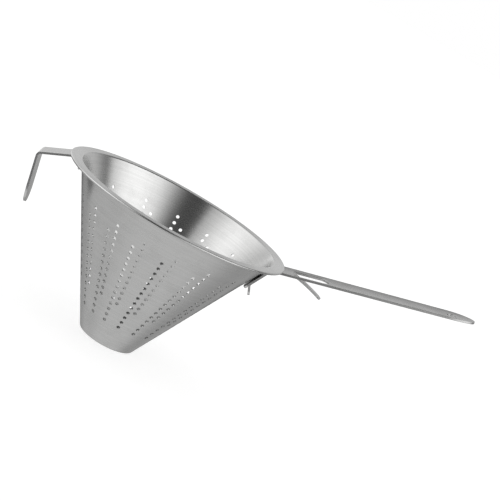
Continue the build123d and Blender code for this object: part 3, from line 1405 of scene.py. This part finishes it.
    def outline(self) -> list[Corner]:
        """Corners of the blank: half-oval tip, shoulders and the prong between them."""
        half = self.width / 2
        prong = self.prong_width / 2
        slit = prong + self.prong_slit
        tip_start = self.rim_mark + self.length - self.tip_length
        side = []
        for mark in self.stations():
            share = (mark - self.rim_mark) / (tip_start - self.rim_mark)
            if 0.0 <= share < 1.0:
                across = half + (self.tip_width / 2 - half) * share
                side.append(Corner(mark, across + 4.0 * self.side_bow * share * (1.0 - share)))
        tip = []
        for part in range(self.tip_parts + 1):
            angle = math.pi * (0.5 - part / self.tip_parts)
            along = tip_start + self.tip_length * math.cos(angle)
            tip.append(Corner(along, self.tip_width / 2 * math.sin(angle)))
        return [
            Corner(0.0, slit),
            Corner(0.0, half, self.leg_rounding),
            *side,
            *tip,
            *(Corner(corner.along, -corner.across) for corner in reversed(side)),
            Corner(0.0, -half, self.leg_rounding),
            Corner(0.0, -slit),
            Corner(self.prong_root, -slit),
            Corner(self.prong_root, -prong),
            Corner(self.prong_tip, -prong, prong * self.fullest_prong),
            Corner(self.prong_tip, prong, prong * self.fullest_prong),
            Corner(self.prong_root, prong),
            Corner(self.prong_root, slit),
        ]

    def tongue_cut(self) -> list[Corner]:
        """Corners of the cut that frees the tongue from the arm."""
        outer, inner = self.slot_width / 2, self.tongue_width / 2
        root = self.tongue_root
        far, tip = root + self.slot_length, root + self.tongue_length
        return [
            Corner(root, outer),
            Corner(far, outer, self.slot_rounding),
            Corner(far, -outer, self.slot_rounding),
            Corner(root, -outer),
            Corner(root, -inner),
            Corner(tip, -inner, self.tongue_rounding),
            Corner(tip, inner, self.tongue_rounding),
            Corner(root, inner),
        ]

    def hang_cut(self) -> list[Corner]:
        """Corners of the square whose full rounding is the hanging hole."""
        half = self.hang_hole / 2
        middle = self.rim_mark + self.length - self.hang_inset
        corners = ((-half, -half), (half, -half), (half, half), (-half, half))
        return [Corner(middle + x, y, half * self.fullest_hole) for x, y in corners]

    def stations(self) -> list[float]:
        """Stations along the blank, close together where it bends."""
        root, tip = self.prong_root, self.prong_tip
        arc = (self.prong_bend + self.thickness) * (self.cone.wall + self.prong_lean)
        knee = self.knee_stretch / self.tongue_stretch
        start = self.tongue_root
        end = self.rim_mark + self.length
        return spaced(
            (
                (tip, root - arc, self.flat_step),
                (root - arc, root, self.bend_step),
                (root, self.bend_start, self.flat_step),
                (self.bend_start, self.bend_end, self.bend_step),
                (self.bend_end, self.rim_mark, self.root_step),
                (self.rim_mark, start, self.flat_step),
                (start, start + knee, self.knee_step),
                (start + knee, start + self.slot_length, self.slot_step),
                (start + self.slot_length, end, self.arm_step),
            )
        )

    def build(self, finish: bpy.types.Material) -> bpy.types.Object:
        """Bend the blank and let it stand for the CAD node.

        Args:
            finish: The handle's material.

        Returns:
            The finished piece.
        """
        piece = Blank(
            "bent_handle", self.thickness, self.outline(), [self.tongue_cut(), self.hang_cut()],
            self.stations(), self.width / 2, Side.HANDLE, self.place,
        ).bent(finish)
        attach(piece, "root")
        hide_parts("handle")
        return piece


@dataclass
class RestHook:
    """Strip hook opposite the handle: wall leg, sloping arm and drop."""

    cone: ConeSizes = field(default_factory=ConeSizes)
    width: float = 28.0 * MM
    thickness: float = 2.0 * MM
    standoff: float = 0.3 * MM
    leg_depth: float = 10.0 * MM
    wall_bend: float = 2.0 * MM
    rim_gap: float = 0.05 * MM
    arm_reach: float = 123.4 * MM
    arm_slope: float = math.radians(24.4)
    arm_drop: float = 3.26 * MM
    arm_bend: float = 8.0 * MM
    corner_bend: float = 2.0 * MM
    drop_length: float = 45.0 * MM
    drop_lean: float = math.radians(11.4)
    tip_rounding: float = 13.7 * MM
    root_rounding: float = 3.0 * MM
    flat_step: float = 3.0 * MM
    bend_step: float = 0.45 * MM

    def __post_init__(self) -> None:
        """Work out the line that the strip follows, mirrored to the handle's side."""
        climb = math.pi / 2 - self.cone.wall
        foot = np.array(self.cone.wall_point(self.leg_depth, self.standoff))
        under = np.array((0.0, self.cone.height - self.cone.hem - self.rim_gap))
        rim = np.array((self.cone.rim_radius, self.cone.height - self.arm_drop))
        first = crossing(foot, climb, under, 0.0)
        second = crossing(under, 0.0, rim, -self.arm_slope)
        third = crossing(rim, -self.arm_slope, np.array((self.arm_reach, 0.0)), math.pi / 2)
        turns = (climb, self.arm_slope, math.pi / 2 + self.drop_lean - self.arm_slope)
        bends = (self.wall_bend + self.thickness, self.arm_bend, self.corner_bend + self.thickness)
        cuts = [bend_run(bend, turn) for bend, turn in zip(bends, turns)]
        corners = (foot, first, second, third)
        spans = [float(np.linalg.norm(b - a)) for a, b in zip(corners, corners[1:])]
        runs: list[tuple[float, float]] = []
        for number, (bend, turn) in enumerate(zip(bends, turns)):
            taken = cuts[number] + (cuts[number - 1] if number else 0.0)
            runs += [(spans[number] - taken, 0.0), (bend, -turn)]
        self.path = Turtle(tuple(foot), climb, (*runs, (self.drop_length - cuts[-1], 0.0)))

    def place(self, along: float, across: float) -> tuple[float, float, float, float]:
        """Where a point of the blank's skin lies once it is bent.

        Args:
            along: Distance along the blank from the wall leg's end.
            across: Distance from the strip's middle.

        Returns:
            x, z, heading and 0, as the strip is flat across.
        """
        return (*self.path.at(along), 0.0)

    def build(self, finish: bpy.types.Material) -> bpy.types.Object:
        """Bend the blank and let it stand for the CAD node.

        Args:
            finish: The hook's material.

        Returns:
            The finished piece.
        """
        half, end = self.width / 2, self.path.length()
        outline = [
            Corner(0.0, -half, self.root_rounding),
            Corner(0.0, half, self.root_rounding),
            Corner(end, half, self.tip_rounding),
            Corner(end, -half, self.tip_rounding),
        ]
        marks = self.path.breaks()
        ranges = [
            (start, stop, self.flat_step if turn == 0.0 else self.bend_step)
            for (_, turn), start, stop in zip(self.path.runs, marks, marks[1:])
        ]
        piece = Blank(
            "bent_rest_hook", self.thickness, outline, [],
            spaced(ranges), half, Side.HOOK, self.place,
        ).bent(finish)
        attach(piece, "root")
        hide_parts("rest_hook")
        return piece


@dataclass
class SpotWelds:
    """The weld nuggets between the strips and the wall."""

    nodes: tuple[str, ...] = ("handle_welds", "hook_welds")

    def dress(self, frame: dict, finish: bpy.types.Material) -> None:
        """Give the CAD nuggets their finish.

        Args:
            frame: The loaded frame.
            finish: The weld metal's material.
        """
        for name in self.nodes:
            node = frame["nodes"][name]
            node.data.materials.clear()
            node.data.materials.append(finish)


# Studio and camera


@dataclass(frozen=True)
class SoftPanel:
    """A soft light or reflector round the set, as the metal sees it.

    Angles are degrees: azimuths turn from +X to +Y. Each fade is the angle at which the
    panel is gone and the one at which it is full, so in high the first is the larger.
    """

    azimuth: float
    clockwise: tuple[float, float]
    counter: tuple[float, float]
    low: tuple[float, float]
    high: tuple[float, float]
    level: float

    def add_to(self, sketch: ShaderSketch, azimuth: object, height: object) -> object:
        """Write the panel's light.

        Args:
            sketch: Writer for the world's tree.
            azimuth: Socket with the azimuth of the direction, in radians.
            height: Socket with the sine of its elevation.

        Returns:
            A socket with the panel's light in that direction.
        """
        off = sketch.math("SUBTRACT", azimuth, math.radians(self.azimuth))
        off = sketch.math("WRAP", off, math.pi, -math.pi)
        gone, full = (math.radians(-angle) for angle in self.clockwise)
        light = sketch.ramp(off, gone, full, 0.0, self.level)
        gone, full = (math.radians(angle) for angle in self.counter)
        light = sketch.math("MULTIPLY", light, sketch.ramp(off, full, gone, 1.0, 0.0))
        gone, full = (math.sin(math.radians(angle)) for angle in self.low)
        light = sketch.math("MULTIPLY", light, sketch.ramp(height, gone, full, 0.0, 1.0))
        gone, full = (math.sin(math.radians(angle)) for angle in self.high)
        return sketch.math("MULTIPLY", light, sketch.ramp(height, full, gone, 1.0, 0.0))


def studio_panels() -> tuple[SoftPanel, ...]:
    """Soft boxes, the pale wall behind the set and the pale floor round it.

    Returns:
        The panels: azimuth, fades clockwise, counter, low and high, then the level.
    """
    above, top = (-14.0, 2.0), (80.0, 52.0)
    front = (2.0, 16.0)
    under, ground = (-90.0, -89.0), (-14.0, -26.0)
    return (
        SoftPanel(-22.0, (77.0, 28.0), (43.0, 36.0), front, top, 0.88),
        SoftPanel(-22.0, (68.0, 4.0), (46.0, 4.0), front, top, 0.72),
        SoftPanel(-60.0, (26.0, 17.0), (60.0, 40.0), (-15.0, -9.0), (12.0, 0.0), 0.76),
        SoftPanel(184.0, (60.0, 0.0), (49.0, 2.0), above, top, 0.82),
        SoftPanel(170.0, (70.0, 50.0), (66.0, 62.0), above, top, 0.66),
        SoftPanel(85.0, (75.0, 35.0), (50.0, 20.0), (-16.0, -3.0), (50.0, 16.0), 0.62),
        SoftPanel(145.0, (24.0, 8.0), (38.0, 8.0), under, (-24.0, -34.0), 0.14),
        SoftPanel(-75.0, (170.0, 60.0), (110.0, 60.0), under, ground, 0.32),
        SoftPanel(0.0, (180.0, 179.0), (180.0, 179.0), under, ground, 0.34),
        SoftPanel(0.0, (180.0, 179.0), (180.0, 179.0), (60.0, 78.0), (91.0, 90.0), 0.8),
    )


@dataclass
class Studio:
    """Pale floor, white surroundings with soft lights and dark flags, and the camera."""

    floor_size: float = 60.0
    fill: float = 0.62
    shade: float = 0.088
    floor_glow: float = 0.6
    panels: tuple[SoftPanel, ...] = field(default_factory=studio_panels)
    camera_place: tuple[float, float, float] = (-0.040434, -1.210805, 0.361148)
    camera_right: tuple[float, float, float] = (0.86789, 0.019, 0.49639)
    camera_down: tuple[float, float, float] = (0.48899, -0.20872, -0.84695)
    focal_pixels: float = 1500.0
    frame_pixels: float = 500.0
    centre_offset_pixels: float = 0.5
    nearest: float = 0.01
    paint: tuple[float, float, float] = (0.8, 0.8, 0.8)

    def camera(self) -> None:
        """Set the camera at the photograph's viewing angle."""
        right = Vector(self.camera_right).normalized()
        down = Vector(self.camera_down)
        down = (down - right * down.dot(right)).normalized()
        back = right.cross(-down)
        turn = Matrix((right, -down, back)).transposed().to_4x4()
        data = bpy.data.cameras.new("photo_camera")
        data.sensor_width = SENSOR_MM
        data.lens = SENSOR_MM * self.focal_pixels / self.frame_pixels
        data.shift_x = -self.centre_offset_pixels / self.frame_pixels
        data.shift_y = self.centre_offset_pixels / self.frame_pixels
        data.clip_start = self.nearest
        camera = bpy.data.objects.new("photo_camera", data)
        camera.matrix_world = Matrix.Translation(self.camera_place) @ turn
        bpy.context.scene.collection.objects.link(camera)
        bpy.context.scene.camera = camera

    def world(self) -> None:
        """White to the camera; to the metal, soft lights and flags round the object."""
        world = bpy.data.worlds.new("studio_surroundings")
        bpy.context.scene.world = world
        world.use_nodes = True
        tree = world.node_tree
        tree.nodes.clear()
        sketch = ShaderSketch(tree)
        look = add_node(tree, "ShaderNodeTexCoord").outputs["Generated"]
        x, y, height = sketch.split(sketch.vector("NORMALIZE", look))
        azimuth = sketch.math("ARCTAN2", y, x)
        seen = self.shade
        for panel in self.panels:
            seen = sketch.math("ADD", seen, panel.add_to(sketch, azimuth, height))
        path = add_node(tree, "ShaderNodeLightPath")
        beyond_fill = sketch.math("SUBTRACT", seen, self.fill)
        glossy = sketch.math("MULTIPLY", path.outputs["Is Glossy Ray"], beyond_fill)
        plain = sketch.math("ADD", glossy, self.fill)
        camera = sketch.math("MULTIPLY", path.outputs["Is Camera Ray"], 1.0 - self.fill)
        strength = sketch.math("ADD", plain, camera)
        light = add_node(
            tree, "ShaderNodeBackground", {"Color": (1.0, 1.0, 1.0), "Strength": strength}
        )
        add_node(tree, "ShaderNodeOutputWorld", {"Surface": light.outputs[0]})

    def floor(self) -> None:
        """Pale floor that fades into the white background and keeps a faint shadow."""
        half = self.floor_size / 2
        corners = np.array(((-half, -half, 0), (half, -half, 0), (half, half, 0), (-half, half, 0)))
        floor = mesh_object("studio_floor", corners, [(0, 1, 2, 3)])
        material = bpy.data.materials.new("studio_floor_paint")
        material.use_nodes = True
        tree = material.node_tree
        tree.nodes.clear()
        paint = add_node(tree, "ShaderNodeBsdfDiffuse", {"Color": self.paint})
        seen = add_node(tree, "ShaderNodeLightPath").outputs["Is Camera Ray"]
        level = ShaderSketch(tree).math("MULTIPLY", seen, self.floor_glow)
        glow = add_node(tree, "ShaderNodeEmission", {"Strength": level})
        both = add_node(tree, "ShaderNodeAddShader", {0: paint.outputs[0], 1: glow.outputs[0]})
        add_node(tree, "ShaderNodeOutputMaterial", {"Surface": both.outputs[0]})
        floor.data.materials.append(material)
        floor.visible_glossy = False
        floor.visible_shadow = False

    def set_up(self) -> None:
        """Camera, surroundings, floor and plain view settings."""
        self.camera()
        self.world()
        self.floor()
        bpy.context.scene.view_settings.view_transform = "Standard"


def main() -> None:
    """Load the frame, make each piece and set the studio."""
    logging.basicConfig(level=logging.INFO, format="%(name)s: %(message)s")
    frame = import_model()
    cone_finish = BrushedSteel("brushed_cone_steel", BrushRun.AROUND)
    strip_finish = BrushedSteel("brushed_strip_steel", BrushRun.ALONG, base=(0.6, 0.6, 0.595))
    pieces = [
        PerforatedCone().build(cone_finish.material()),
        Handle().build(strip_finish.material()),
        RestHook().build(strip_finish.material()),
    ]
    SpotWelds().dress(frame, WeldMetal().material())
    for piece in pieces:
        LOG.info("%s: %d faces", piece.name, len(piece.data.polygons))
    Studio().set_up()


if __name__ == "__main__":
    main()
